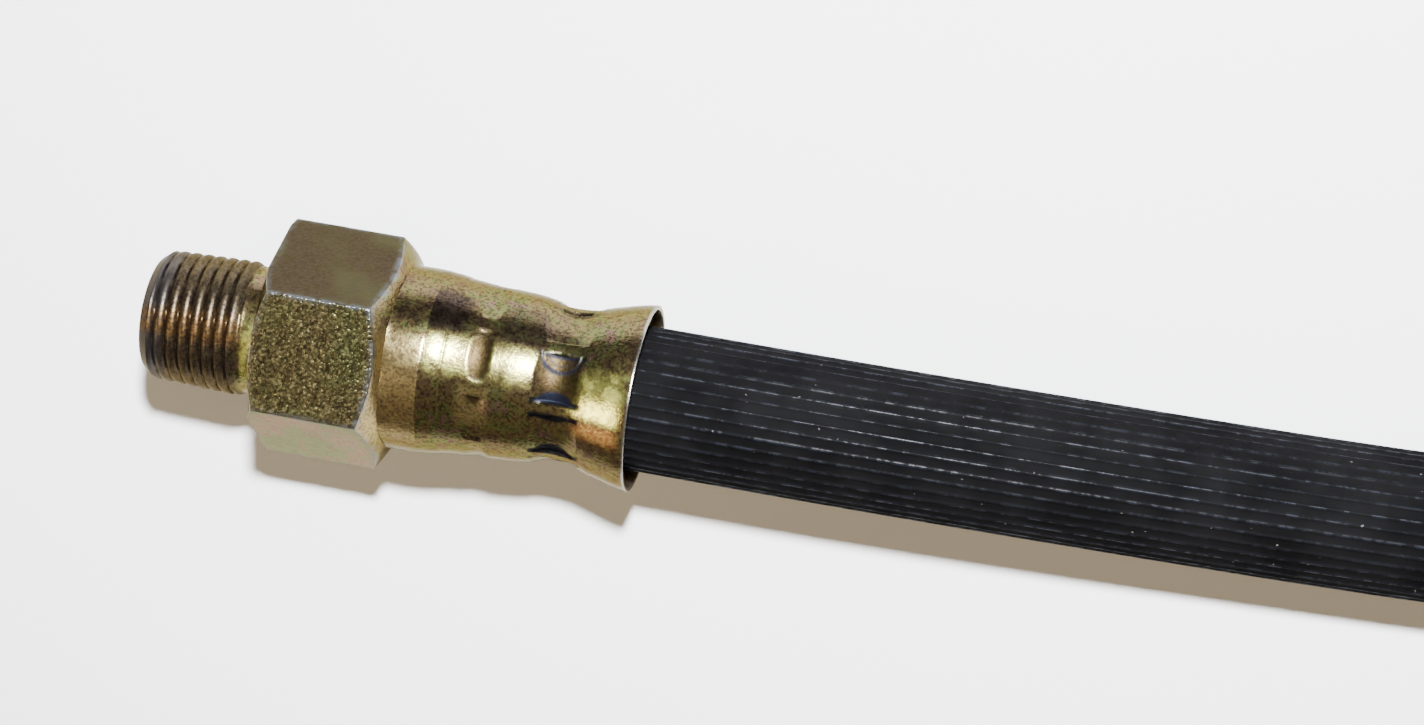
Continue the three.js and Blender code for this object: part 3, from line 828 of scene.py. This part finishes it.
# %% [markdown]
# ## The places without a fresh film, and painted light and shade
# Three flats of the hexagon are grainy. Two are satin and painted darker, as painted shade, and the one that
# faces -Y is painted pale, as a painted reflection of the white surface. The thread is rusty and darker in its
# roots, and its lit flanks are painted honey-coloured, a painted highlight. The lead is worn grey, the edges
# and the rim are bare, the rubbed flats are painted darker where the highlight falls, and the walls of the jaw
# marks are painted nearly black, as painted shade. Each is a colour laid over the film in the share that its
# mark says. The order counts: what covers most of the metal comes first, and thin edges and dark marks come
# last.

# %% Give each kind of surface its own colour
sparkle = ramp(tree, grain, [
    (0.34, (0.021, 0.020, 0.012)), (0.46, (0.046, 0.043, 0.025)), (0.55, (0.066, 0.062, 0.036)),
    (0.70, (0.17, 0.16, 0.095)),
])
tint = mixed(tree, spread(tree, wide, 0.36, 0.64), (1.0, 0.94, 0.72), (0.88, 1.0, 0.70))
sparkle = mixed(tree, 0.8, sparkle, tint, "MULTIPLY")
# Painted shade: the satin flats are darker.
satin_shaded = mixed(tree, spread(tree, speck, 0.40, 0.62), (0.0145, 0.0115, 0.0080), (0.032, 0.026, 0.018))
satin_shaded = mixed(tree, spread(tree, wide, 0.40, 0.62, 0, 0.5), satin_shaded, (0.036, 0.036, 0.020))
# Painted reflection: the flat facing -Y is pale where it mirrors the lit white surface.
pale_reflection = mixed(tree, spread(tree, both, 0.45, 0.55), (0.125, 0.155, 0.085), (0.225, 0.145, 0.118))
pale_reflection = mixed(tree, spread(tree, speck, 0.42, 0.66, 0, 0.5), pale_reflection, (0.09, 0.07, 0.05))
rusty = mixed(tree, spread(tree, speck, 0.42, 0.60), (0.060, 0.044, 0.028), (0.026, 0.020, 0.017))
# Painted highlight: the honey colour of the thread's lit flanks.
honey_highlight = mixed(tree, spread(tree, speck, 0.42, 0.60), (0.120, 0.066, 0.022), (0.046, 0.028, 0.014))
worn_edge = math_node(tree, "MULTIPLY", marked(tree, "edge"), spread(tree, blotch, 0.36, 0.60, 0.1, 0.85))
for share, colour in (
    (share_of(tree, "coarse", 0.9), sparkle),
    (share_of(tree, "satin_shaded", 0.9), satin_shaded),
    (share_of(tree, "pale_reflection", 0.9), pale_reflection),
    (share_of(tree, "thread", 0.9), rusty),
    # The thread's roots are darker.
    (share_of(tree, "dark_roots", 0.5), (0.024, 0.017, 0.013)),
    (share_of(tree, "worn_lead", 0.7), (0.05, 0.048, 0.052)),
    (share_of(tree, "honey_highlight", 0.9), honey_highlight),
    # Painted shade: the rubbed flats darkened where the highlight falls.
    (share_of(tree, "rubbed_and_shaded", 0.92), (0.017, 0.0105, 0.0040)),
    (worn_edge, (0.11, 0.12, 0.135)),
    (share_of(tree, "rim", 0.8), (0.30, 0.29, 0.27)),
    # Painted shade: the walls of the jaw marks and the half-moons painted nearly black.
    (share_of(tree, "pressed", 0.95), (0.004, 0.0055, 0.012)),
):
    film = mixed(tree, share, film, colour)
tree.links.new(film, shader.inputs["Base Color"])
shader.inputs["Specular Tint"].default_value = (0.50, 0.46, 0.38, 1)

# %% [markdown]
# ## The steel's gloss and grain
# Metal is told by its highlights. The film is glossy, and each worn or dirty place is duller by its own
# amount, which is added to the roughness. What is too small to model is a bump: a fine one all over, and a
# coarser one on the grainy flats only.

# %% Give the steel its gloss and its grain
rough = spread(tree, blotch, 0.3, 0.7, 0.20, 0.27)
for name, more in (
    ("satin_shaded", 0.16), ("pale_reflection", 0.16), ("coarse", 0.04), ("rubbed_and_shaded", 0.15), ("thread", 0.16), ("pressed", 0.12),
):
    rough = math_node(tree, "ADD", rough, share_of(tree, name, more))
tree.links.new(rough, shader.inputs["Roughness"])
fine_bump = wired(tree, "ShaderNodeBump", {"Height": speck, "Strength": 0.55, "Distance": 0.00003})
grain_bump = wired(tree, "ShaderNodeBump", {
    "Height": grain, "Strength": share_of(tree, "coarse", 0.7), "Distance": 0.0001,
    "Normal": fine_bump.outputs["Normal"],
})
tree.links.new(grain_bump.outputs["Normal"], shader.inputs["Normal"])
print(steel.name, "has", len(tree.nodes), "nodes")

for piece in (male, female):
    piece.data.materials.append(steel)

# %% [markdown]
# ## Black ribbed rubber
# The cover is nearly black and half matt. Pale dust sits on it in small specks, and its shade drifts a
# little along its length. The ribs are already in the shape, so the material only adds what is smaller.
# Their crests are polished by handling, each rib by its own amount, and catch the light in broken bluish lines.
# A thin clear coat gives that gloss, because its weight may vary over the surface: it follows the crests and is
# broken up by noise. Where it shines, the crests' colour is also painted lighter and bluish, a painted sheen.

# %% Make the rubber
rubber, tree, shader = new_material("black_ribbed_rubber", 0.0)
place = wired(tree, "ShaderNodeTexCoord").outputs["Object"]
drift = noise(tree, place, 180, 3)
fine = noise(tree, place, 2600, 3)
dust = spread(tree, noise(tree, place, 2100, 1), 0.775, 0.81)
cover = mixed(tree, spread(tree, drift, 0.3, 0.7), (0.0029, 0.0028, 0.0030), (0.0053, 0.0052, 0.0056))
cover = mixed(tree, dust, cover, (0.07, 0.065, 0.06))
broken = spread(tree, noise(tree, place, 900, 3, 0.7), 0.45, 0.60, 0.10, 1.0)
polish_and_sheen = math_node(tree, "MULTIPLY", marked(tree, "crest"), broken)
# Painted sheen: where the crests shine, their colour is lighter and bluish.
cover = mixed(tree, polish_and_sheen, cover, (0.0085, 0.0100, 0.0150))
tree.links.new(cover, shader.inputs["Base Color"])
tree.links.new(spread(tree, polish_and_sheen, 0.2, 0.9, 0.60, 0.40), shader.inputs["Roughness"])
tree.links.new(math_node(tree, "MULTIPLY", polish_and_sheen, 0.22), shader.inputs["Coat Weight"])
shader.inputs["Coat Roughness"].default_value = 0.30
shader.inputs["Specular IOR Level"].default_value = 0.006
shader.inputs["Specular Tint"].default_value = (0.74, 0.81, 1.0, 1)
bump = wired(tree, "ShaderNodeBump", {"Height": fine, "Strength": 0.3, "Distance": 0.00003})
tree.links.new(bump.outputs["Normal"], shader.inputs["Normal"])
hose.data.materials.append(rubber)
print(rubber.name, "has", len(tree.nodes), "nodes")

# %% [markdown]
# ## The surface that it lies on
# The object lies on a clean white sheet. A wide flat plane in off-white is enough: the soft shadow along
# the lower edge of the object does the rest.

# %% Make the floor
floor_mesh = bpy.data.meshes.new("floor")
REACH = 3
floor_corners = [(x * REACH, y * REACH, 0) for x, y in ((-1, -1), (1, -1), (1, 1), (-1, 1))]
floor_mesh.from_pydata(floor_corners, [], [(0, 1, 2, 3)])
floor = bpy.data.objects.new("floor", floor_mesh)
bpy.context.scene.collection.objects.link(floor)
paper, tree, shader = new_material("white_surface", 0.0)
shader.inputs["Base Color"].default_value = (0.90, 0.90, 0.90, 1)
shader.inputs["Roughness"].default_value = 0.7
shader.inputs["Specular IOR Level"].default_value = 0.2
floor_mesh.materials.append(paper)
print("floor:", 2 * REACH, "m square")

# %% [markdown]
# ## Light
# One small soft lamp hangs 27 cm away, up and towards +Y, and throws a shadow with a soft edge to the other
# side. Two weak warm lamps stand 80 cm away on the left and on the right. The room is warm and dim, and
# brighter towards -Y, which makes the shadow beige and gives the metal dark bands beside its highlight. A
# picture of a room could do the same, but one colour on each side is plainer and enough.

# %% Set the lamp and the room
def lamp(name, place, aim, size, power, colour):
    """A round soft lamp at a place, turned towards its aim."""
    light = bpy.data.lights.new(name, "AREA")
    light.shape = "DISK"
    light.size = size
    light.energy = power
    light.color = colour
    stand = bpy.data.objects.new(name, light)
    bpy.context.scene.collection.objects.link(stand)
    stand.location = place
    stand.rotation_euler = (Vector(aim) - Vector(place)).to_track_quat("-Z", "Y").to_euler()
    print(name, round((Vector(aim) - Vector(place)).length, 2), "m away")


AIM = Vector((0.03, -0.055, 0.0))


def away(degrees_up, degrees_round, distance):
    """A place that far from the object: 0 degrees round is +X, 90 is +Y."""
    lift, turn = math.radians(degrees_up), math.radians(degrees_round)
    level = math.cos(lift)
    return AIM + distance * Vector((level * math.cos(turn), level * math.sin(turn), math.sin(lift)))


lamp("key_lamp", (0.046, 0.062, 0.240), AIM, 0.022, 4.45, (0.95, 0.97, 1.0))
lamp("warm_left", away(46, 206, 0.8), AIM, 0.28, 2.4, (1.0, 0.84, 0.60))
lamp("warm_right", away(42, -8, 0.8), AIM, 0.40, 0.3, (1.0, 0.78, 0.50))

world = bpy.data.worlds.new("room")
world.use_nodes = True
bpy.context.scene.world = world
tree = world.node_tree
direction = wired(tree, "ShaderNodeTexCoord").outputs["Generated"]
across = wired(tree, "ShaderNodeSeparateXYZ", {"Vector": direction}).outputs["Y"]
far_side = spread(tree, across, -0.30, 0.30)
room = mixed(tree, far_side, (0.235, 0.165, 0.092), (0.02, 0.015, 0.010))
tree.links.new(room, tree.nodes["Background"].inputs["Color"])
tree.nodes["Background"].inputs["Strength"].default_value = 1.0

# %% [markdown]
# ## Attach the pieces
# Each detailed piece stands for its CAD solid, which is hidden, and rides on the object's one body. The hose
# runs from the mouth of the male fitting to the fitting at its far end.

# %% Attach the pieces and hide their CAD parts
for piece, node in ((male, "male_end_fitting"), (female, "female_end_fitting"), (hose, "rubber_hose")):
    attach(piece, "root")
    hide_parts(node)
